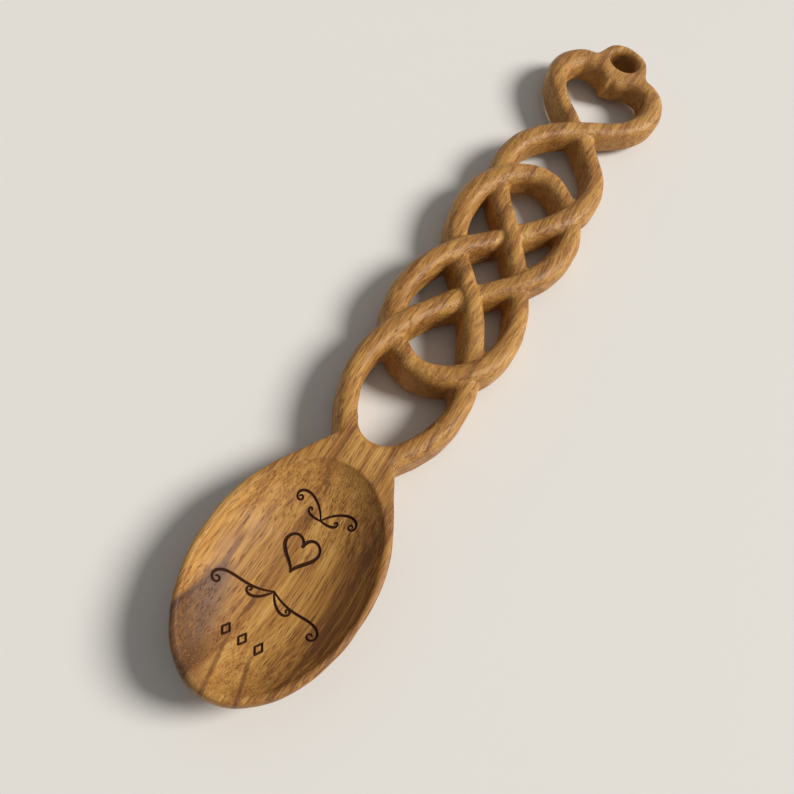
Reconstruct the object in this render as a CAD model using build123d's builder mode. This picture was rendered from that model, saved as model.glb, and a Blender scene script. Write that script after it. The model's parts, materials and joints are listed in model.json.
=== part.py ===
from build123d import *
from collections import namedtuple
from math import cos, radians, sin
import os

# Carved love spoon: an oval bowl, a knot of two woven strands, and a heart with a hanging ring.
# All sizes are millimetres. A rise is measured along the spoon from the notches of the neck,
# positive towards the ring, and a reach is measured sideways from the middle line.

# Bowl
bowl_half_width = 18.0
bowl_half_length = 28.0
bowl_to_notch = 2.0
hollow_half_width = 16.7
hollow_half_length = 25.9
hollow_set_off = 0.7
hollow_depth = 6.8
hollow_wall_slope = 55.0
rim_band = 3.0
rim_round = 0.8
foot_trim = 0.5
heel_rise = -15.0

# Neck
neck_half_width = 7.4
crotch_rise = 3.1
fork_reach = 7.5
fork_rise = 5.5
fork_spread = 30.0

# Strands of the knot
neck_thickness = 9.3
heart_thickness = 8.0
strand_flat = 0.6
weave = 0.6
back_clearance = 0.2
sections_per_span = 3

# Widths of the strands from the neck to the cleft of the heart
fork_width = 5.0
low_width = 5.8
mid_width = 5.4
high_width = 6.4
foot_width = 6.0
flank_width = 5.5
side_width = 6.8
lobe_width = 8.6
cleft_width = 6.4

# Crossings: side pairs have a reach, the others lie on the middle line, and each is a step above the last
low_side_reach = 10.1
low_side_rise = 31.4
low_axis_step = 19.8
mid_side_reach = 8.7
mid_side_step = 10.9
high_axis_step = 12.9
high_side_reach = 10.7
high_side_step = 16.3
heart_foot_step = 31.5

# Turns of the strands, and how far each lies above or below the crossing next to it
loop_reach = 12.1
loop_drop = 12.3
low_arch_drop = 6.1
low_bow_reach = 14.1
low_bow_drop = 5.4
high_bow_reach = 14.0
high_bow_lift = 5.7
high_arch_lift = 8.2
top_bow_reach = 12.3
top_bow_lift = 12.8

# Heart, measured up from its foot, with its lobes and the ring measured up from its cleft
heart_flank_reach = 10.8
heart_flank_lift = 10.5
heart_side_reach = 14.8
heart_side_lift = 23.0
cleft_lift = 28.9
cleft_slope = 25.0
lobe_top_reach = 10.0
lobe_top_lift = 2.3
ring_lift = 8.1
ring_hole_radius = 4.3
ring_lining = 1.7
ring_wall = 3.3
ring_foot_reach = 9.6
ring_thickness = 7.8
ring_round = 1.5
ring_hole_round = 1.5

# Places that follow from those sizes
bowl_rise = -bowl_half_length - bowl_to_notch
bowl_tip_rise = bowl_rise - bowl_half_length
low_axis_rise = low_side_rise + low_axis_step
mid_side_rise = low_axis_rise + mid_side_step
high_axis_rise = mid_side_rise + high_axis_step
high_side_rise = high_axis_rise + high_side_step
heart_foot_rise = high_side_rise + heart_foot_step
loop_rise = low_side_rise - loop_drop
low_arch_rise = low_side_rise - low_arch_drop
low_bow_rise = low_axis_rise - low_bow_drop
high_bow_rise = high_axis_rise + high_bow_lift
high_arch_rise = high_side_rise + high_arch_lift
top_bow_rise = high_side_rise + top_bow_lift
heart_flank_rise = heart_foot_rise + heart_flank_lift
heart_side_rise = heart_foot_rise + heart_side_lift
cleft_rise = heart_foot_rise + cleft_lift
lobe_top_rise = cleft_rise + lobe_top_lift
ring_rise = cleft_rise + ring_lift
ring_outer_radius = ring_hole_radius + ring_wall
middle_rise = (bowl_tip_rise + ring_rise + ring_outer_radius) / 2
mid_height = neck_thickness / 2 + weave + back_clearance
rim_height = mid_height + neck_thickness / 2
fork_round = (fork_width - strand_flat) / 2


def along(rise):
    """Turn a rise into the y of the spoon's own frame, whose origin is half-way along."""
    return rise - middle_rise


Station = namedtuple("Station", "point width")


def station(width, reach, rise, level=0):
    """A place on a strand's centre line: level is 1 over a crossing, -1 under it."""
    return Station(Vector(reach, along(rise), mid_height + level * weave), width)


def strand_thickness(y):
    """Thickness of a strand, which thins steadily from the neck to the top of the heart."""
    share = (y - along(0)) / lobe_top_rise
    return neck_thickness + share * (heart_thickness - neck_thickness)


# Centre line of the strand that starts and ends at the neck
spread = radians(fork_spread)
bowl_strand = {
    "left fork": station(fork_width, -fork_reach, fork_rise),
    "left loop": station(fork_width, -loop_reach, loop_rise),
    "low left over": station(low_width, -low_side_reach, low_side_rise, 1),
    "low axis under": station(mid_width, 0, low_axis_rise, -1),
    "mid right over": station(mid_width, mid_side_reach, mid_side_rise, 1),
    "right high bow": station(high_width, high_bow_reach, high_bow_rise),
    "high right under": station(high_width, high_side_reach, high_side_rise, -1),
    "high arch": station(high_width, 0, high_arch_rise),
    "high left over": station(high_width, -high_side_reach, high_side_rise, 1),
    "left high bow": station(high_width, -high_bow_reach, high_bow_rise),
    "mid left under": station(mid_width, -mid_side_reach, mid_side_rise, -1),
    "low axis over": station(mid_width, 0, low_axis_rise, 1),
    "low right under": station(low_width, low_side_reach, low_side_rise, -1),
    "right loop": station(fork_width, loop_reach, loop_rise),
    "right fork": station(fork_width, fork_reach, fork_rise),
}
with BuildLine() as bowl_strand_line:
    Spline(
        *(stop.point for stop in bowl_strand.values()),
        tangents=((-sin(spread), cos(spread), 0), (-sin(spread), -cos(spread), 0)),
        tangent_scalars=(1, 1),
    )

# Centre line of the strand that starts and ends at the cleft of the heart
slope = radians(cleft_slope)
heart_strand = {
    "left cleft": station(cleft_width, 0, cleft_rise),
    "left lobe": station(lobe_width, -lobe_top_reach, lobe_top_rise),
    "heart left side": station(side_width, -heart_side_reach, heart_side_rise),
    "heart left flank": station(flank_width, -heart_flank_reach, heart_flank_rise),
    "heart foot under": station(foot_width, 0, heart_foot_rise, -1),
    "right top bow": station(foot_width, top_bow_reach, top_bow_rise),
    "high right over": station(high_width, high_side_reach, high_side_rise, 1),
    "high axis under": station(mid_width, 0, high_axis_rise, -1),
    "mid left over": station(mid_width, -mid_side_reach, mid_side_rise, 1),
    "left low bow": station(mid_width, -low_bow_reach, low_bow_rise),
    "low left under": station(low_width, -low_side_reach, low_side_rise, -1),
    "low arch": station(low_width, 0, low_arch_rise),
    "low right over": station(low_width, low_side_reach, low_side_rise, 1),
    "right low bow": station(mid_width, low_bow_reach, low_bow_rise),
    "mid right under": station(mid_width, mid_side_reach, mid_side_rise, -1),
    "high axis over": station(mid_width, 0, high_axis_rise, 1),
    "high left under": station(high_width, -high_side_reach, high_side_rise, -1),
    "left top bow": station(foot_width, -top_bow_reach, top_bow_rise),
    "heart foot over": station(foot_width, 0, heart_foot_rise, 1),
    "heart right flank": station(flank_width, heart_flank_reach, heart_flank_rise),
    "heart right side": station(side_width, heart_side_reach, heart_side_rise),
    "right lobe": station(lobe_width, lobe_top_reach, lobe_top_rise),
    "right cleft": station(cleft_width, 0, cleft_rise),
}
with BuildLine() as heart_strand_line:
    Spline(
        *(stop.point for stop in heart_strand.values()),
        tangents=((-cos(slope), sin(slope), 0), (-cos(slope), -sin(slope), 0)),
        tangent_scalars=(1, 1),
    )


def places_along(centre_line, stations):
    """Place of each station from 0 to 1 along its strand's centre line."""
    first, *inner, last = stations
    places = {name: centre_line.param_at_point(stations[name].point) for name in inner}
    return {first: 0.0, **places, last: 1.0}


def strand_member(centre_line, stations, first, last):
    """Loft one member of a strand between two of its named stations."""
    places = places_along(centre_line, stations)
    names = list(stations)
    names = names[names.index(first) : names.index(last) + 1]
    cuts = []
    for start, end in zip(names, names[1:]):
        for count in range(sections_per_span):
            share = count / sections_per_span
            place = places[start] + share * (places[end] - places[start])
            width = stations[start].width + share * (stations[end].width - stations[start].width)
            cuts.append((place, width))
    cuts.append((places[last], stations[last].width))
    with BuildPart() as member:
        for place, width in cuts:
            spot = centre_line.position_at(place)
            heading = centre_line.tangent_at(place)
            if stations is heart_strand and place in (0, 1):
                # The two lobes of the heart meet on the middle plane
                heading = Vector(-1, 0, 0)
                width /= cos(slope)
            across = Plane(origin=spot, x_dir=(heading.Y, -heading.X, 0), z_dir=(heading.X, heading.Y, 0))
            thickness = strand_thickness(spot.Y)
            with BuildSketch(across):
                RectangleRounded(width, thickness, (min(width, thickness) - strand_flat) / 2)
        loft()
    return member.part


# Whole members, each from one dip under another strand to the next
ends_on_bowl_strand = {
    "left_loop": ("left fork", "low axis under"),
    "upper_right_bow": ("low axis under", "high right under"),
    "top_arch": ("high right under", "mid left under"),
    "lower_diagonal": ("mid left under", "low right under"),
    "right_loop": ("low right under", "right fork"),
}
ends_on_heart_strand = {
    "heart_left_lobe": ("left cleft", "heart foot under"),
    "upper_right_strand": ("heart foot under", "high axis under"),
    "lower_left_bow": ("high axis under", "low left under"),
    "bottom_arch": ("low left under", "mid right under"),
    "upper_diagonal": ("mid right under", "high left under"),
    "heart_right_lobe": ("high left under", "right cleft"),
}
whole = {}
for name, ends in ends_on_bowl_strand.items():
    whole[name] = strand_member(bowl_strand_line.edge(), bowl_strand, *ends)
for name, ends in ends_on_heart_strand.items():
    whole[name] = strand_member(heart_strand_line.edge(), heart_strand, *ends)

# Round seat that leaves the ring a lining all round its hole
with BuildPart() as ring_seat:
    with Locations((0, along(ring_rise), mid_height)):
        Cylinder(ring_hole_radius + ring_lining, 2 * rim_height)
for name in ("heart_left_lobe", "heart_right_lobe"):
    with BuildPart() as lobe:
        add(whole[name])
        add(ring_seat.part, mode=Mode.SUBTRACT)
    whole[name] = lobe.part

# The members that lie on top of each member where its ends dip under
passes_under = {
    "left_loop": ["lower_diagonal"],
    "upper_right_bow": ["lower_diagonal", "upper_right_strand"],
    "top_arch": ["upper_right_strand", "lower_left_bow"],
    "lower_diagonal": ["lower_left_bow", "bottom_arch"],
    "right_loop": ["bottom_arch"],
    "heart_left_lobe": ["heart_right_lobe"],
    "upper_right_strand": ["heart_right_lobe", "upper_diagonal"],
    "lower_left_bow": ["upper_diagonal", "left_loop"],
    "bottom_arch": ["left_loop", "upper_right_bow"],
    "upper_diagonal": ["upper_right_bow", "top_arch"],
    "heart_right_lobe": ["top_arch"],
}
finished = {}
for name, uncut in whole.items():
    with BuildPart() as member:
        add(uncut)
        for over in passes_under[name]:
            add(whole[over], mode=Mode.SUBTRACT)
    finished[name] = member.part


# Back of the bowl, which thickens along a curved heel to the full depth of the neck
back_top = rim_height - rim_band
back_depth = back_top + foot_trim
back_radius = (bowl_half_width**2 + back_depth**2) / (2 * back_depth)
back_axis_height = back_radius - foot_trim
tip_y = along(bowl_rise) - bowl_half_length
root_y = along(bowl_rise) + bowl_half_length
with BuildPart() as back:
    with BuildSketch(Plane.YZ):
        with BuildLine():
            ThreePointArc((tip_y, back_top), (along(bowl_rise), -foot_trim), (root_y, back_top))
            Polyline((root_y, back_top), (root_y, back_axis_height), (tip_y, back_axis_height), (tip_y, back_top))
        make_face()
    revolve(axis=Axis((0, 0, back_axis_height), (0, 1, 0)))
with BuildPart() as heel:
    with BuildSketch(Plane.YZ.offset(-bowl_half_width)):
        with BuildLine():
            TangentArc((along(0), mid_height - neck_thickness / 2), (along(heel_rise), back_top), tangent=(-1, 0))
            Polyline(
                (along(heel_rise), back_top),
                (along(heel_rise), rim_height),
                (along(0), rim_height),
                (along(0), mid_height - neck_thickness / 2),
            )
        make_face()
    extrude(amount=2 * bowl_half_width)

# Hollow: a round dish with a flat floor and steep wall, stretched to an oval
wall_slope = radians(hollow_wall_slope)
with BuildPart() as hollow:
    with BuildSketch(Plane.XZ):
        with BuildLine():
            Spline(
                (0, -hollow_depth),
                (hollow_half_width, 0),
                tangents=((1, 0), (cos(wall_slope), sin(wall_slope))),
            )
            Polyline((hollow_half_width, 0), (hollow_half_width, hollow_depth), (0, hollow_depth), (0, -hollow_depth))
        make_face()
    revolve(axis=Axis.Z)
    scale(by=(1, hollow_half_length / hollow_half_width, 1))

# Bowl: straight shoulders run from the notches of the neck and touch the oval
with BuildPart() as bowl:
    with BuildSketch():
        with BuildLine() as outline:
            EllipticalCenterArc((0, along(bowl_rise)), bowl_half_width, bowl_half_length, arc_size=360)
            Line((-neck_half_width, along(0)), (neck_half_width, along(0)))
        make_hull(outline.edges())
    extrude(amount=rim_height)
    add(back.part + heel.part, mode=Mode.INTERSECT)
    rim_edges = bowl.faces().sort_by(Axis.Z)[-1].edges()
    fillet(rim_edges.filter_by(Axis.X, reverse=True), rim_round)
    with Locations((0, along(bowl_rise - hollow_set_off), rim_height)):
        add(hollow.part, mode=Mode.SUBTRACT)
finished["bowl"] = bowl.part

# Fork that carries the two loops: its ends are the first sections of the strands
fork_y = along(fork_rise)
half_strand = fork_width / 2
inner_reach = fork_reach - half_strand * cos(spread)
outer_reach = fork_reach + half_strand * cos(spread)
inner_y = fork_y + half_strand * sin(spread)
outer_y = fork_y - half_strand * sin(spread)
with BuildPart() as neck:
    with BuildSketch(Plane.XY.offset(mid_height - neck_thickness / 2)):
        with BuildLine():
            ThreePointArc((-inner_reach, inner_y), (0, along(crotch_rise)), (inner_reach, inner_y))
            Polyline(
                (inner_reach, inner_y),
                (outer_reach, outer_y),
                (neck_half_width, along(0)),
                (-neck_half_width, along(0)),
                (-outer_reach, outer_y),
                (-inner_reach, inner_y),
            )
        make_face()
    extrude(amount=neck_thickness)
    crotch_edges = neck.edges().filter_by(GeomType.CIRCLE)
    flat_edges = neck.faces().filter_by(Axis.Z).edges()
    side_edges = flat_edges.filter_by(lambda edge: abs(edge.center().X) > neck_half_width)
    fillet(crotch_edges, fork_round)
    fillet(side_edges, fork_round)
finished["neck"] = neck.part

# Ring with flared foot, seated on the two lobes
with BuildPart() as ring:
    with BuildSketch(Plane.XY.offset(mid_height - ring_thickness / 2)):
        with BuildLine() as outline:
            CenterArc((0, along(ring_rise)), ring_outer_radius, 0, 360)
            Line((-ring_foot_reach, along(lobe_top_rise)), (ring_foot_reach, along(lobe_top_rise)))
        make_hull(outline.edges())
    extrude(amount=ring_thickness)
    fillet(ring.faces().filter_by(Axis.Z).edges(), ring_round)
    with Locations((0, along(ring_rise), mid_height + ring_thickness / 2)):
        Hole(ring_hole_radius)
    hole_edges = ring.edges(Select.LAST).filter_by(GeomType.CIRCLE)
    fillet(hole_edges, ring_hole_round)
    add(whole["heart_left_lobe"], mode=Mode.SUBTRACT)
    add(whole["heart_right_lobe"], mode=Mode.SUBTRACT)
finished["hanging_ring"] = ring.part

os.makedirs("parts", exist_ok=True)
for name, part in finished.items():
    part.label = name
    export_step(part, f"parts/{name}.step")
    print(name, round(part.volume), len(part.solids()), part.is_valid)
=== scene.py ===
import itertools
import json
import math

import bmesh
import bpy
import numpy as np
from mathutils import Matrix, Vector
from mathutils.bvhtree import BVHTree
from mathutils.kdtree import KDTree


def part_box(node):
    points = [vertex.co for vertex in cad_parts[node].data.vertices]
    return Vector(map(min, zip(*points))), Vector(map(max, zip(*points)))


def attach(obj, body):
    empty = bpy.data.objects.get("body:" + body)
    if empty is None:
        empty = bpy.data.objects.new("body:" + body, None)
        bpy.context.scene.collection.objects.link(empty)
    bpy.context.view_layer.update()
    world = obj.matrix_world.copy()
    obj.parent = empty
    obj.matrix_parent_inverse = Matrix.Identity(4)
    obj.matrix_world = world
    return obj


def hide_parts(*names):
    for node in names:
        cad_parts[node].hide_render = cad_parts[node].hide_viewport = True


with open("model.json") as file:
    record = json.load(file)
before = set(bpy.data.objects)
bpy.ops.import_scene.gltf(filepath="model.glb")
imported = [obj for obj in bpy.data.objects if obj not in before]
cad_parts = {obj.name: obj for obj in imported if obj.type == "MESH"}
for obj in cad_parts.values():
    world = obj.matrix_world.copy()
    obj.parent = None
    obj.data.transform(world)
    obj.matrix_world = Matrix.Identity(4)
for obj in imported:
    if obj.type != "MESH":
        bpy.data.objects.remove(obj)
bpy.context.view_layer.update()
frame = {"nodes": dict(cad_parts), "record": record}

# Sizes in metres
mm = 0.001
member_names = sorted(frame["nodes"])
bowl_low, bowl_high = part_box("bowl")
rim_level = bowl_high.z

# The neck's notches, from which places along the spoon are measured, and the hole to hang it by
notch_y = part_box("neck")[0].y
hang_hole = next(mount for mount in frame["record"]["mounts"] if mount["name"] == "hang_hole")
hole_middle = Vector(hang_hole["pos_m"])
hole_radius = hang_hole["dims"]["r_mm"] * mm
hole_half_depth = hang_hole["dims"]["length_mm"] * mm / 2
# How the painted shade on the hanging hole's wall fades out over its edges, and how dark it is
hole_fade = 1 * mm
hole_shade = 0.7

# The carved skin: its mesh size, its rounds of smoothing and the two steps of each round, in and out, the
# step of plain smoothing, and the rounds that smooth the borders between the members
voxel = 0.3 * mm
smoothing_rounds = 5
smoothing_steps = (0.5, -0.52)
relaxing_step = 0.5
label_rounds = 6

# The unevenness that a knife leaves: its height, and the length and number of its waves
uneven_height = 0.07 * mm
uneven_lengths = (7 * mm, 11 * mm, 18 * mm)
waves_per_length = 4
uneven_seed = 12

# The creases between the strands: the rounds that even out their depth, and the depths at which their
# painted shade, and then the rounding by sandpaper, start and are full
crease_spread = 3
crease_shade_start = 0.010 * mm
crease_shade_full = 0.04 * mm
ease_spread = 18
ease_start = 0.0025 * mm
ease_full = 0.0125 * mm
ease_rounds = 200

# Places on both sides that the carver blended: the place, how far the blend reaches, the level above which
# it leaves the wood alone, and its rounds of smoothing
blend_fade = 2.0 * mm
any_level = 14 * mm
rim_notch = (Vector((7.4 * mm, notch_y, rim_level)), 4.5 * mm, any_level, 18)
side_notch = (Vector((7.5 * mm, notch_y, 6.0 * mm)), 4.0 * mm, any_level, 40)
ring_dip = (hole_middle + Vector((7.6, -1.4, 0)) * mm, 7.0 * mm, any_level, 110)
low_notch = (Vector((7.8 * mm, notch_y + 0.5 * mm, 2.5 * mm)), 6.0 * mm, 8 * mm, 200)
heel_corner = (Vector((10.2 * mm, notch_y - 4.5 * mm, 1.5 * mm)), 6.5 * mm, 6.5 * mm, 400)
heel_end = (Vector((12.8 * mm, notch_y - 9.5 * mm, 4.0 * mm)), 5.5 * mm, 6.5 * mm, 400)
heel_dip = (Vector((4.5 * mm, notch_y - 10.0 * mm, 3.0 * mm)), 9.0 * mm, 5.5 * mm, 600)
blends = (rim_notch, side_notch, ring_dip, low_notch, heel_corner, heel_end, heel_dip)

# The cusp inside the heart, which a knife cut left sharp
cusp_drop = 11.9 * mm
cusp_side = -1.2 * mm
cusp_reach = 2.4 * mm
cusp_height = 1.5 * mm

# Burnt-in ornament in the bowl, in millimetres from the notches: a heart between two sprigs, and lozenges.
# A tendril of a sprig has a place, a length, the angle at which it leaves, its bend and its curl
heart_middle = (0.0, -24.7)
heart_width = 7.3
heart_height = 7.5
heart_turn = math.radians(6)
heart_line_width = 0.72
heart_line_change = 0.2
upper_sprig = (0.0, -16.6)
lower_sprig = (0.0, -33.6)
tendrils = (
    (upper_sprig, 12.5, 62, -95, -430),
    (upper_sprig, 5.0, -8, 30, 300),
    (lower_sprig, 17.0, -28, 75, -470),
    (lower_sprig, 8.5, -62, 60, 380),
)
tendril_end_share = 0.6
lozenge_rise = -44.8
lozenge_gap = 3.6
lozenge_half_width = 0.8
lozenge_half_length = 1.3
lozenge_line_width = 0.48
line_step = 0.08
line_width = 0.6

# How the lines are burnt: their depth, the fine mesh round them, and how the burn falls off from the middle
line_depth = 0.25 * mm
refined_band = 0.9 * mm
refined_cuts = 3
burn_middle = 1.6
burn_fall = 2.2

# A level between the bowl's back and its hollow, as shares of the rim's level: at the middle, and its rise
floor_share = 0.22
floor_rise_share = 0.7

# Wood grain in millimetres: how far it wanders, how it is drawn out along the spoon, and how fine each
# pattern is and how much it counts
drift_scale = 0.016
drift_reach = (7, 0, 4)
grain_stretch = (1, 0.035, 1)
noise_roughness = 0.6
band_scale = 0.24
band_slant = 0.35
band_share = 0.36
streak_scale = 1.0
streak_share = 0.38
fibre_scale = 2.7
fibre_share = 0.33
hair_scale = 6.0
hair_share = 0.14
ragged_reach = 4.0

# Colours of the grain, each with the tone at which it stands
grain_colours = (
    (0.49, (0.17, 0.063, 0.013, 1)),
    (0.57, (0.335, 0.150, 0.033, 1)),
    (0.64, (0.455, 0.227, 0.054, 1)),
    (0.74, (0.595, 0.340, 0.100, 1)),
)

# Where the tone changes: calmer where the grain ends, and darker on the right wall of the bowl as painted
# shade
end_grain_range = (0.3, 0.8)
end_tone = 0.585
end_calm = 0.55
bowl_end = -2
right_wall_range = (7.5, 14.5)
right_wall_painted_shade = 0.08

# The purple patch on the left of the bowl: a place on each side border and its slope, its top, and how its
# edges fade. Smoke darkens it along its left border
patch_left = ((-14.2, -48), 0.2)
patch_right = ((-8.0, -38), -0.3)
patch_top = -33.5
patch_left_ragged = 0.3
patch_left_fade = (-0.6, 1.0)
patch_right_fade = (-3.0, 2.5)
patch_top_fade = (-1.0, 3.0)
patch_mottle = 2.4
patch_mottle_loss = 0.3
patch_tint = (0.30, 0.265, 0.43, 1)
smoke_fade = (0.8, 3.4)
smoke_strength = 0.8
smoke_tint = (0.42, 0.36, 0.58, 1)

# Dark veins in the bowl: the two ends of each and its width
veins = (
    ((-2.8, -44.5), (0.0, -60.0), 0.7),
    ((3.0, -46.0), (6.6, -59.0), 0.65),
    ((-11.3, -27.0), (-10.8, -37.0), 1.0),
)
vein_core = 0.2
vein_low_fade = (-2, 2)
vein_high_fade = (-3, 1)
vein_strength = 0.72
vein_colour = (0.12, 0.040, 0.013, 1)

# Dashes along the grain: how their cells are drawn out, how wide a dash is full and ends, and the share of
# the cells that hold one
small_pores = ((2.5, 0.22, 2.5), 0.14, 0.32, 0.6)
large_pores = ((1.4, 0.15, 1.4), 0.08, 0.20, 0.6)
pore_end_loss = 0.5
pore_strength = 0.75
pore_colour = (0.10, 0.038, 0.012, 1)
# Pale flecks, partly the wood's own and partly painted glints
pale_flecks = ((1.9, 0.45, 1.9), 0.12, 0.3, 0.5)
fleck_share = 0.45
fleck_bowl_loss = 0.4
fleck_and_glint_strength = 0.55
fleck_and_glint_colour = (0.72, 0.47, 0.19, 1)

# Painted shade in the creases and on the hanging hole's wall, and the burnt lines
painted_shade_strength = 0.58
painted_shade_colour = (0.11, 0.040, 0.011, 1)
burn_ragged = 0.2
burn_full = 0.55
burn_colour = (0.045, 0.018, 0.010, 1)

# The oiled finish, and the relief of fibres, tool marks and pores under it
smooth_roughness = 0.32
fibre_roughness = 0.35
pore_roughness = 0.25
sheen = 0.3
mark_stretch = (1, 0.45, 1)
mark_scale = 0.8
mark_relief = 2.0
mark_bowl_loss = 0.6
fibre_relief = 1.2
hair_relief = 0.5
relief_strength = 0.5
relief_height = 0.12 * mm

# The floor's half width, colour and roughness
floor_half = 1.5
floor_colour = (0.78, 0.77, 0.75, 1)
floor_roughness = 0.8

# The key light: where it comes from, how wide it is, its strength and its colour
key_direction = Vector((0.80, 0.45, 0.77))
key_spread = math.radians(25)
key_strength = 3.5
key_colour = (1.0, 0.96, 0.9)

# The sky: its colour, how much light it gives, and how bright it looks
sky_colour = (1.0, 0.985, 0.96, 1)
sky_light = 0.23
sky_seen = 0.72

# Camera, fitted to the photograph's view
camera_place = Vector((14.0, -141.0, 174.1)) * mm
camera_ahead = Vector((-0.0757, 0.5238, -0.8485))
camera_right = Vector((0.8531, 0.4745, 0.2169))
camera_lens = 40.4
camera_near = 0.01


def read(collection, key, width, kind=np.float64):
    """One property of a whole mesh layer as an array with a row for each item."""
    values = np.empty(len(collection) * width, np.float32 if kind is np.float64 else np.int32)
    collection.foreach_get(key, values)
    return values.astype(kind).reshape(-1, width) if width > 1 else values.astype(kind)


def triangles_of(mesh):
    """The corner indices of a mesh that has triangles only."""
    return read(mesh.loops, "vertex_index", 1, np.int64).reshape(-1, 3)


def edges_of(triangles):
    """Each edge once, as a pair of vertex indices."""
    pairs = np.concatenate([triangles[:, [0, 1]], triangles[:, [1, 2]], triangles[:, [2, 0]]])
    return np.unique(np.sort(pairs, axis=1), axis=0)


def neighbour_mean(values, edges):
    """The mean over each vertex's neighbours of an array with a column for each quantity."""
    count = np.bincount(edges.ravel(), minlength=len(values))
    columns = []
    for column in values.T:
        total = np.bincount(edges[:, 0], column[edges[:, 1]], len(values))
        total += np.bincount(edges[:, 1], column[edges[:, 0]], len(values))
        columns.append(total / np.maximum(count, 1))
    return np.stack(columns, axis=1)


def face_normals(places, triangles):
    """A normal for each triangle, twice as long as its area."""
    first, second, third = (places[triangles[:, corner]] for corner in range(3))
    return np.cross(second - first, third - first)


def unit(vectors):
    """The same vectors with a length of 1, apart from those that have no length."""
    length = np.linalg.norm(vectors, axis=1, keepdims=True)
    return vectors / np.where(length > 0, length, 1)


def normals_of(places, triangles):
    """Vertex normals, each face weighing as much as its area."""
    faces = face_normals(places, triangles)
    total = np.zeros_like(places)
    for axis in range(3):
        for corner in range(3):
            total[:, axis] += np.bincount(triangles[:, corner], faces[:, axis], len(places))
    return unit(total)


def ramped(values, start, full):
    """0 below start, 1 above full, straight between."""
    return np.clip((values - start) / (full - start), 0, 1)


def joined_solids():
    """The CAD solids as one mesh, and for each of its triangles the number of its member."""
    places, triangles, owners = [], [], []
    start = 0
    for number, name in enumerate(member_names):
        mesh = frame["nodes"][name].data
        mesh.calc_loop_triangles()
        corners = read(mesh.loop_triangles, "vertices", 3, np.int64)
        places.append(read(mesh.vertices, "co", 3))
        triangles.append(corners + start)
        owners.append(np.full(len(corners), number))
        start += len(mesh.vertices)
    return np.concatenate(places), np.concatenate(triangles), np.concatenate(owners)


def remeshed(places, triangles):
    """One closed skin round all the solids, with faces of about the voxel's size."""
    mesh = bpy.data.meshes.new("solids")
    mesh.from_pydata(places.tolist(), [], triangles.tolist())
    solids = bpy.data.objects.new("solids", mesh)
    bpy.context.scene.collection.objects.link(solids)
    skin = solids.modifiers.new("skin", "REMESH")
    skin.mode = "VOXEL"
    skin.voxel_size = voxel
    depsgraph = bpy.context.evaluated_depsgraph_get()
    result = bpy.data.meshes.new_from_object(solids.evaluated_get(depsgraph))
    bpy.data.objects.remove(solids)
    return result


def smoothed(places, edges):
    """Smoothing that rounds the creases between the strands without shrinking them."""
    for step in smoothing_steps * smoothing_rounds:
        places = places + step * (neighbour_mean(places, edges) - places)
    return places


def relaxed(places, edges, weight, rounds):
    """Plain smoothing of the points that have a weight."""
    touched = edges[np.any(weight[edges] > 0, axis=1)]
    near = np.unique(touched)
    number = np.full(len(places), -1)
    number[near] = np.arange(len(near))
    inner = number[touched]
    strength = relaxing_step * weight[near][:, None]
    spots = places[near]
    for _ in range(rounds):
        spots = spots + strength * (neighbour_mean(spots, inner) - spots)
    result = places.copy()
    result[near] = spots
    return result


def blended(places, edges):
    """Extra smoothing at the blends, strongest at the middle of each."""
    for (middle, reach, top, rounds), side in itertools.product(blends, (-1, 1)):
        gap = np.linalg.norm(places - np.array(middle) * (side, 1, 1), axis=1)
        fade = np.clip((top - places[:, 2]) / blend_fade, 0, 1)
        places = relaxed(places, edges, fade * np.clip(1 - gap / reach, 0, 1), rounds)
    return places


def hollowness(places, edges, triangles, spread):
    """How far each point lies below the mean of its neighbours, evened out over a few rounds."""
    normals = normals_of(places, triangles)
    depth = np.einsum("ij,ij->i", neighbour_mean(places, edges) - places, normals)[:, None]
    for _ in range(spread):
        depth = neighbour_mean(depth, edges)
    return depth[:, 0]


def eased(places, edges, triangles):
    """The creases between the strands filled to small rounds, as sandpaper leaves them."""
    depth = hollowness(places, edges, triangles, ease_spread)
    return relaxed(places, edges, ramped(depth, ease_start, ease_full), ease_rounds)


def cusped(places):
    """The heart's inner cusp drawn out to a point."""
    across = 1 - np.abs(places[:, 0] - cusp_side) / cusp_reach
    along = 1 - np.abs(places[:, 1] - hole_middle.y + cusp_drop) / cusp_reach
    pull = cusp_height * np.clip(across, 0, 1) ** 2 * np.clip(along, 0, 1)
    return places - np.stack([0 * pull, pull, 0 * pull], axis=1)


def uneven(places):
    """How far a knife leaves the surface above or below the true form."""
    chance = np.random.default_rng(uneven_seed)
    height = np.zeros(len(places))
    for length in uneven_lengths:
        for _ in range(waves_per_length):
            direction = chance.normal(size=3)
            direction *= 2 * math.pi / length / np.linalg.norm(direction)
            height += np.sin(places @ direction + chance.uniform(0, 2 * math.pi))
    return height * uneven_height / math.sqrt(len(uneven_lengths) * waves_per_length)


def evenly(line):
    """The same line, as rows of place across, place along and width, with its points a small step apart."""
    run = np.concatenate([[0], np.cumsum(np.linalg.norm(np.diff(line[:, :2], axis=0), axis=1))])
    places = np.arange(0, run[-1], line_step)
    return np.stack([np.interp(places, run, column) for column in line.T], axis=1)


def heart_line():
    """Outline of the burnt-in heart, its point towards the bowl's tip, in a line of uneven width."""
    turn = np.linspace(0, 2 * math.pi, 200)
    across = np.sin(turn) ** 3 * heart_width / 2
    along = 13 * np.cos(turn) - 5 * np.cos(2 * turn) - 2 * np.cos(3 * turn) - np.cos(4 * turn)
    along = ((along - along.min()) / (along.max() - along.min()) - 0.5) * heart_height
    width = heart_line_width * (1 + heart_line_change * np.sin(3 * turn + 1))
    cosine, sine = math.cos(heart_turn), math.sin(heart_turn)
    return evenly(np.stack([across * cosine - along * sine + heart_middle[0],
                            across * sine + along * cosine + heart_middle[1],
                            width], axis=1))


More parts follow.
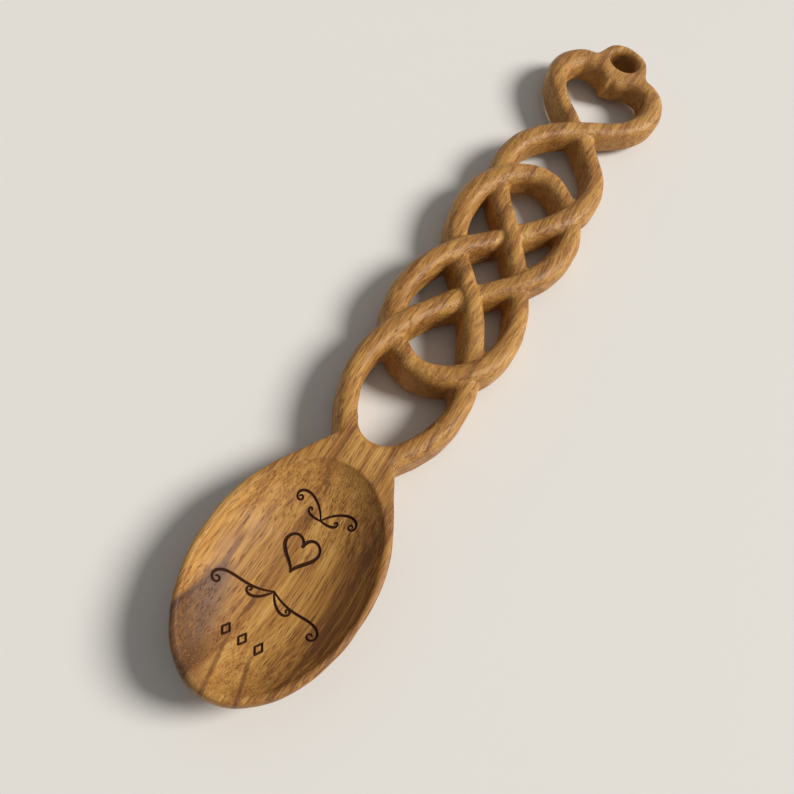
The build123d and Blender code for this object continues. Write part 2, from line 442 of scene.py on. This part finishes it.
def tendril(place, length, start, bend, curl):
    """A line that leaves a place at the angle start, bends steadily and curls up, thinner at its ends."""
    run = np.linspace(0, 1, 300)
    heading = np.radians(start + bend * run + curl * run ** 5)
    step = length / len(run)
    width = line_width * (tendril_end_share + (1 - tendril_end_share) * np.sin(math.pi * run))
    return evenly(np.stack([place[0] + step * np.cumsum(np.cos(heading)),
                            place[1] + step * np.cumsum(np.sin(heading)),
                            width], axis=1))


def lozenge(across):
    """A small diamond, long along the spoon."""
    corners = [(0, lozenge_half_length), (lozenge_half_width, 0), (0, -lozenge_half_length),
               (-lozenge_half_width, 0), (0, lozenge_half_length)]
    return evenly(np.array([(across + x, lozenge_rise + y, lozenge_line_width) for x, y in corners]))


def ornament():
    """Points along all the burnt-in lines and the line's width at each, in metres in the spoon's frame."""
    half_lines = [tendril(*values) for values in tendrils]
    mirrored = [line * (-1, 1, 1) for line in half_lines]
    row = [lozenge(count * lozenge_gap) for count in (-1, 0, 1)]
    lines = np.concatenate([heart_line(), *half_lines, *mirrored, *row])
    return lines[:, :2] * mm + (0, notch_y), lines[:, 2] * mm


def hollow_floor(places):
    """A level between the bowl's back and its hollow at each point."""
    middle = (bowl_low + bowl_high) / 2
    half = (bowl_high - bowl_low) / 2
    share = ((places[:, 0] - middle.x) / half.x) ** 2 + ((places[:, 1] - middle.y) / half.y) ** 2
    return bowl_low.z + rim_level * (floor_share + floor_rise_share * np.clip(share, 0, 1))


def line_distance(places):
    """Distance in plan from each point to the burnt-in lines and the nearest line's width. The distance is
    large for all but the bowl's hollow."""
    lines, widths = ornament()
    tree = KDTree(len(lines))
    for index, point in enumerate(lines):
        tree.insert((*point, 0), index)
    tree.balance()
    low = lines.min(axis=0) - 2 * refined_band
    high = lines.max(axis=0) + 2 * refined_band
    near = np.all((places[:, :2] > low) & (places[:, :2] < high), axis=1)
    near &= places[:, 2] > hollow_floor(places)
    distance = np.full(len(places), 1.0)
    width = np.full(len(places), line_width * mm)
    found = [tree.find((x, y, 0)) for x, y in places[near, :2]]
    distance[near] = [gap for _, _, gap in found]
    width[near] = widths[[index for _, index, _ in found]]
    return distance, width


def inside_hole(places):
    """1 on the wall of the hanging hole, fading out over its rounded edges: the mask of its painted shade.
    """
    gap = np.linalg.norm(places[:, :2] - np.array(hole_middle)[:2], axis=1) - hole_radius
    level = np.abs(places[:, 2] - hole_middle.z) - hole_half_depth
    return np.clip(1 - gap / hole_fade, 0, 1) * np.clip(0.5 - level / hole_fade, 0, 1)


def refined(mesh):
    """The mesh as triangles, with small ones along the burnt-in lines."""
    work = bmesh.new()
    work.from_mesh(mesh)
    places = read(mesh.vertices, "co", 3)
    near = line_distance(places)[0] < refined_band
    edges = [edge for edge in work.edges if near[edge.verts[0].index] and near[edge.verts[1].index]]
    bmesh.ops.subdivide_edges(work, edges=edges, cuts=refined_cuts, use_grid_fill=True)
    bmesh.ops.triangulate(work, faces=work.faces[:])
    work.to_mesh(mesh)
    work.free()
    return mesh


def carved_skin(solids):
    """One skin round the solids, with its creases rounded, its cusp drawn out and small faces to burn."""
    skin = remeshed(*solids[:2])
    skin.calc_loop_triangles()
    places = read(skin.vertices, "co", 3)
    edges = read(skin.edges, "vertices", 2, np.int64)
    triangles = read(skin.loop_triangles, "vertices", 3, np.int64)
    places = blended(smoothed(places, edges), edges)
    places = cusped(eased(places, edges, triangles))
    skin.vertices.foreach_set("co", places.astype(np.float32).ravel())
    return refined(skin)


def member_of_faces(places, triangles, edges, solids):
    """The number of the member that each face belongs to, with smooth borders."""
    solid_places, solid_triangles, owners = solids
    tree = BVHTree.FromPolygons(solid_places.tolist(), solid_triangles.tolist(), all_triangles=True)
    nearest = [tree.find_nearest(place)[2] for place in places.tolist()]
    share = np.eye(len(member_names))[owners[nearest]]
    for _ in range(label_rounds):
        share = (share + neighbour_mean(share, edges)) / 2
    return share[triangles].sum(axis=1).argmax(axis=1)


def closed_member(name, places, triangles, normals, layers):
    """One member as an object: its share of the carved skin, closed where its neighbours carry on."""
    kept, corners = np.unique(triangles, return_inverse=True)
    corners = corners.reshape(-1, 3)
    mesh = bpy.data.meshes.new(name)
    mesh.from_pydata(places[kept].tolist(), [], corners.tolist())
    for layer, values in layers.items():
        data = mesh.attributes.new(layer, "FLOAT", "POINT").data
        data.foreach_set("value", values[kept].astype(np.float32))
    work = bmesh.new()
    work.from_mesh(mesh)
    rim = [edge for edge in work.edges if edge.is_boundary]
    caps = bmesh.ops.holes_fill(work, edges=rim, sides=0)["faces"]
    bmesh.ops.poke(work, faces=caps)
    work.to_mesh(mesh)
    work.free()
    mesh.shade_smooth()
    cap_triangles = triangles_of(mesh)[len(corners):]
    cap_normals = unit(face_normals(read(mesh.vertices, "co", 3), cap_triangles))
    shading = np.concatenate([normals[kept][corners], np.repeat(cap_normals[:, None], 3, axis=1)])
    mesh.normals_split_custom_set(shading.reshape(-1, 3).tolist())
    member = bpy.data.objects.new("carved_" + name, mesh)
    bpy.context.scene.collection.objects.link(member)
    return member


def carve():
    """The whole spoon as carved members, each in the place of its CAD node."""
    solids = joined_solids()
    skin = carved_skin(solids)
    places = read(skin.vertices, "co", 3)
    triangles = triangles_of(skin)
    bpy.data.meshes.remove(skin)
    edges = edges_of(triangles)
    normals = normals_of(places, triangles)
    # Painted shade: darker in the creases between the strands and on the wall of the hanging hole
    painted_shade = ramped(hollowness(places, edges, triangles, crease_spread), crease_shade_start, crease_shade_full)
    painted_shade = np.maximum(painted_shade, hole_shade * inside_hole(places))
    distance, width = line_distance(places)
    groove = np.clip(1 - (2 * distance / width) ** 2, 0, 1)
    burn = np.clip(burn_middle - burn_fall * distance / width, 0, 1)
    members = member_of_faces(places, triangles, edges, solids)
    places = places + normals * (uneven(places) - line_depth * groove)[:, None]
    normals = normals_of(places, triangles)
    layers = {"painted_shade": painted_shade, "burn": burn}
    made = []
    for number, name in enumerate(member_names):
        member = closed_member(name, places, triangles[members == number], normals, layers)
        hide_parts(name)
        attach(member, "root")
        made.append(member)
    return made


class Nodes:
    """The node tree of a material or a world, with short ways to add and join its nodes."""

    def __init__(self, owner):
        owner.use_nodes = True
        self.tree = owner.node_tree

    def add(self, kind, settings=None, **inputs):
        """A node with its settings, and its inputs set to values or joined to other nodes' outputs."""
        node = self.tree.nodes.new(kind)
        for key, value in (settings or {}).items():
            setattr(node, key, value)
        for key, value in inputs.items():
            self.join(node, key, value)
        return node

    def join(self, node, key, value):
        """One input, named or numbered (as in_0), set to a value or joined to an output."""
        socket = node.inputs[int(key[3:])] if key.startswith("in_") else node.inputs[key.replace("_", " ")]
        if isinstance(value, bpy.types.NodeSocket):
            self.tree.links.new(value, socket)
        else:
            socket.default_value = value

    def maths(self, operation, first, second=0.0, clamp=False):
        """The result of one operation on numbers, kept between 0 and 1 if clamped."""
        settings = {"operation": operation, "use_clamp": clamp}
        return self.add("ShaderNodeMath", settings, in_0=first, in_1=second).outputs[0]

    def plus(self, first, second):
        """The sum of two numbers."""
        return self.maths("ADD", first, second)

    def minus(self, first, second):
        """The first number less the second."""
        return self.maths("SUBTRACT", first, second)

    def times(self, first, second):
        """The product of two numbers."""
        return self.maths("MULTIPLY", first, second)

    def rest(self, share):
        """What a share leaves of 1."""
        return self.minus(1.0, share)

    def greater(self, first, second):
        """The greater of two numbers."""
        return self.maths("MAXIMUM", first, second)

    def vector(self, operation, first, second):
        """The result of one operation on vectors."""
        settings = {"operation": operation}
        return self.add("ShaderNodeVectorMath", settings, in_0=first, in_1=second).outputs[0]

    def axes(self, vector):
        """A vector's three numbers."""
        return self.add("ShaderNodeSeparateXYZ", Vector=vector).outputs[:]

    def attribute(self, name):
        """A value that the mesh holds for each of its points."""
        return self.add("ShaderNodeAttribute", {"attribute_name": name}).outputs["Fac"]

    def noise(self, place, scale, detail):
        """A rough random pattern."""
        node = self.add("ShaderNodeTexNoise", Vector=place, Scale=scale, Detail=detail,
                        Roughness=noise_roughness)
        return node.outputs["Fac"]

    def between(self, value, low, high):
        """0 below low, 1 above high, smooth between."""
        node = self.add("ShaderNodeMapRange", {"interpolation_type": "SMOOTHSTEP"},
                        Value=value, From_Min=low, From_Max=high)
        return node.outputs["Result"]

    def ramp(self, factor, stops):
        """A colour ramp through (position, colour) stops."""
        node = self.add("ShaderNodeValToRGB", Fac=factor)
        elements = node.color_ramp.elements
        for index, (position, colour) in enumerate(stops):
            element = elements[index] if index < 2 else elements.new(position)
            element.position = position
            element.color = colour
        return node.outputs["Color"]

    def mix(self, factor, first, second, blend="MIX"):
        """The first colour with the second laid over it."""
        node = self.add("ShaderNodeMix", {"data_type": "RGBA", "blend_type": blend},
                        in_0=factor, in_6=first, in_7=second)
        return node.outputs[2]


class Wood(Nodes):
    """The patterns of oiled hardwood with its grain along the spoon, in millimetres from the notches."""

    def __init__(self, material):
        super().__init__(material)
        place = self.add("ShaderNodeTexCoord").outputs["Object"]
        self.straight = self.vector("MULTIPLY", place, (1 / mm, 1 / mm, 1 / mm))
        drift = self.add("ShaderNodeTexNoise", Vector=self.straight, Scale=drift_scale, Detail=1.0)
        drift = self.vector("SUBTRACT", drift.outputs["Color"], (0.5, 0.5, 0.5))
        self.place = self.vector("ADD", self.straight, self.vector("MULTIPLY", drift, drift_reach))
        grain = self.vector("MULTIPLY", self.place, grain_stretch)
        self.streaks = self.noise(grain, streak_scale, 3.0)
        self.fibres = self.noise(grain, fibre_scale, 2.0)
        self.hairs = self.noise(grain, hair_scale, 2.0)
        self.ragged = self.times(self.minus(self.fibres, 0.5), ragged_reach)
        self.reach, y, _ = self.axes(self.straight)
        self.rise = self.minus(y, notch_y / mm)
        self.in_bowl = self.maths("LESS_THAN", self.rise, bowl_end)
        normal = self.axes(self.add("ShaderNodeNewGeometry").outputs["Normal"])
        self.end_grain = self.between(self.maths("ABSOLUTE", normal[1]), *end_grain_range)

    def tone(self):
        """How pale the grain is, from bands, streaks, fibres and hairs, less painted shade on the bowl's
        right wall.
        """
        across, _, up = self.axes(self.place)
        layer = self.plus(across, self.times(up, band_slant))
        bands = self.add("ShaderNodeTexNoise", {"noise_dimensions": "1D"},
                         W=layer, Scale=band_scale, Detail=2.0)
        tone = self.times(bands.outputs["Fac"], band_share)
        tone = self.plus(tone, self.times(self.streaks, streak_share))
        tone = self.plus(tone, self.times(self.fibres, fibre_share))
        tone = self.plus(tone, self.times(self.hairs, hair_share))
        calm = self.times(self.end_grain, self.minus(end_tone, tone))
        tone = self.plus(tone, self.times(calm, end_calm))
        # Painted shade: the bowl's right wall, which faces away from the key light, is darkened
        painted_wall_shade = self.times(self.between(self.reach, *right_wall_range), self.in_bowl)
        return self.minus(tone, self.times(painted_wall_shade, right_wall_painted_shade))

    def border(self, place, slope):
        """How far across the spoon a straight border through a place lies, at each point's rise."""
        return self.plus(self.times(self.minus(self.rise, place[1]), slope), place[0])

    def patch(self):
        """Masks of the purple patch in the bowl and of the smoke along its left border."""
        past_left = self.minus(self.reach, self.border(*patch_left))
        past_left = self.plus(past_left, self.times(self.ragged, patch_left_ragged))
        short_of_right = self.plus(self.minus(self.border(*patch_right), self.reach), self.ragged)
        below_top = self.plus(self.minus(patch_top, self.rise), self.ragged)
        patch = self.between(past_left, *patch_left_fade)
        patch = self.times(patch, self.between(short_of_right, *patch_right_fade))
        patch = self.times(patch, self.between(below_top, *patch_top_fade))
        mottle = self.minus(self.times(self.streaks, patch_mottle), patch_mottle_loss)
        patch = self.maths("MULTIPLY", patch, mottle, True)
        smoke = self.times(patch, self.rest(self.between(past_left, *smoke_fade)))
        return patch, smoke

    def vein(self, start, end, width):
        """Mask of a thin line along the grain between two places."""
        slope = (end[0] - start[0]) / (end[1] - start[1])
        gap = self.maths("ABSOLUTE", self.minus(self.reach, self.border(start, slope)))
        mask = self.rest(self.between(gap, vein_core * width, width))
        low, high = sorted((start[1], end[1]))
        above_low = self.between(self.rise, *(low + fade for fade in vein_low_fade))
        above_high = self.between(self.rise, *(high + fade for fade in vein_high_fade))
        return self.times(mask, self.times(above_low, self.rest(above_high)))

    def dashes(self, stretch, thin, thick, share):
        """Mask of short dashes along the grain: a share of the cells of a stretched pattern hold one."""
        stretched = self.vector("MULTIPLY", self.place, stretch)
        cells = self.add("ShaderNodeTexVoronoi", Vector=stretched, Scale=1.0)
        chance = self.add("ShaderNodeSeparateColor", Color=cells.outputs["Color"]).outputs["Red"]
        mask = self.rest(self.between(cells.outputs["Distance"], thin, thick))
        return self.times(mask, self.maths("LESS_THAN", chance, share))

    def pores(self):
        """Mask of the dark pores, fainter where the grain ends."""
        pores = self.greater(self.dashes(*small_pores), self.dashes(*large_pores))
        return self.times(pores, self.rest(self.times(self.end_grain, pore_end_loss)))

    def flecks(self):
        """Mask of the pale flecks, partly the wood's own and partly painted glints: strongest where the
        grain ends and faint in the bowl.
        """
        share = self.plus(self.end_grain, fleck_share)
        share = self.maths("SUBTRACT", share, self.times(self.in_bowl, fleck_bowl_loss), True)
        return self.times(self.dashes(*pale_flecks), share)

    def burn(self):
        """How burnt the wood is, with ragged edges."""
        burn = self.attribute("burn")
        return self.times(burn, self.plus(burn, self.times(self.ragged, burn_ragged)))

    def relief(self, pores):
        """The normal of a surface with raised fibres, tool marks and sunken pores."""
        marks = self.noise(self.vector("MULTIPLY", self.straight, mark_stretch), mark_scale, 3.0)
        marks = self.times(marks, mark_relief)
        marks = self.times(marks, self.rest(self.times(self.in_bowl, mark_bowl_loss)))
        grain = self.plus(self.times(self.fibres, fibre_relief), self.times(self.hairs, hair_relief))
        height = self.minus(self.plus(grain, marks), pores)
        bump = self.add("ShaderNodeBump", Strength=relief_strength, Distance=relief_height, Height=height)
        return bump.outputs["Normal"]


def wood_material():
    """Oiled hardwood: grain in streaks and bands, dark pores, pale flecks that are partly painted glints, a
    purple patch and dark veins in the bowl, painted shade in the creases, the hole and on the bowl's right
    wall, and burnt-in lines."""
    material = bpy.data.materials.new("oiled_hardwood")
    wood = Wood(material)
    patch, smoke = wood.patch()
    pores = wood.pores()
    painted_shade = wood.attribute("painted_shade")
    burn = wood.burn()
    base = wood.ramp(wood.tone(), grain_colours)
    base = wood.mix(patch, base, patch_tint, "MULTIPLY")
    base = wood.mix(wood.times(smoke, smoke_strength), base, smoke_tint, "MULTIPLY")
    for start, end, width in veins:
        base = wood.mix(wood.times(wood.vein(start, end, width), vein_strength), base, vein_colour)
    base = wood.mix(wood.times(pores, pore_strength), base, pore_colour)
    # Pale flecks, partly the wood's own and partly painted glints
    base = wood.mix(wood.times(wood.flecks(), fleck_and_glint_strength), base, fleck_and_glint_colour)
    # Painted shade in the creases and on the hanging hole's wall
    base = wood.mix(wood.times(painted_shade, painted_shade_strength), base, painted_shade_colour)
    base = wood.mix(wood.between(burn, 0.0, burn_full), base, burn_colour)
    roughness = wood.plus(wood.times(wood.fibres, fibre_roughness), smooth_roughness)
    roughness = wood.plus(roughness, wood.times(wood.greater(pores, painted_shade), pore_roughness))
    shader = wood.tree.nodes["Principled BSDF"]
    wood.join(shader, "Base_Color", base)
    wood.join(shader, "Roughness", roughness)
    wood.join(shader, "Specular_IOR_Level", wood.maths("SUBTRACT", sheen, wood.times(burn, sheen), True))
    wood.join(shader, "Normal", wood.relief(pores))
    return material


def floor():
    """A plain pale floor under the spoon."""
    material = bpy.data.materials.new("pale_floor")
    nodes = Nodes(material)
    shader = nodes.tree.nodes["Principled BSDF"]
    nodes.join(shader, "Base_Color", floor_colour)
    nodes.join(shader, "Roughness", floor_roughness)
    mesh = bpy.data.meshes.new("floor")
    corners = [(x * floor_half, y * floor_half, 0) for x, y in ((-1, -1), (1, -1), (1, 1), (-1, 1))]
    mesh.from_pydata(corners, [], [(0, 1, 2, 3)])
    mesh.materials.append(material)
    ground = bpy.data.objects.new("floor", mesh)
    bpy.context.scene.collection.objects.link(ground)


def key_light():
    """A soft far lamp from the upper right of the view, which lights the whole floor evenly."""
    lamp = bpy.data.lights.new("key", "SUN")
    lamp.angle = key_spread
    lamp.energy = key_strength
    lamp.color = key_colour
    light = bpy.data.objects.new("key", lamp)
    light.rotation_mode = "QUATERNION"
    light.rotation_quaternion = key_direction.to_track_quat("Z", "Y")
    bpy.context.scene.collection.objects.link(light)


def sky():
    """A pale sky that looks brighter than it shines."""
    world = bpy.data.worlds.new("sky")
    nodes = Nodes(world)
    rays = nodes.add("ShaderNodeLightPath").outputs
    seen = nodes.greater(rays["Is Camera Ray"], rays["Is Glossy Ray"])
    seen = nodes.greater(seen, rays["Is Transmission Ray"])
    strength = nodes.add("ShaderNodeMapRange", Value=seen, To_Min=sky_light, To_Max=sky_seen)
    background = nodes.tree.nodes["Background"]
    nodes.join(background, "Color", sky_colour)
    nodes.join(background, "Strength", strength.outputs["Result"])
    bpy.context.scene.world = world


def camera():
    """The photograph's viewpoint."""
    lens = bpy.data.cameras.new("camera")
    lens.lens = camera_lens
    lens.clip_start = camera_near
    view = bpy.data.objects.new("camera", lens)
    ahead = camera_ahead.normalized()
    across = (camera_right - ahead * camera_right.dot(ahead)).normalized()
    turn = Matrix((across, across.cross(ahead), -ahead)).transposed()
    view.matrix_world = Matrix.Translation(camera_place) @ turn.to_4x4()
    bpy.context.scene.collection.objects.link(view)
    bpy.context.scene.camera = view


oiled_hardwood = wood_material()
for carved in carve():
    carved.data.materials.append(oiled_hardwood)
floor()
key_light()
sky()
camera()
bpy.context.scene.view_settings.view_transform = "Standard"
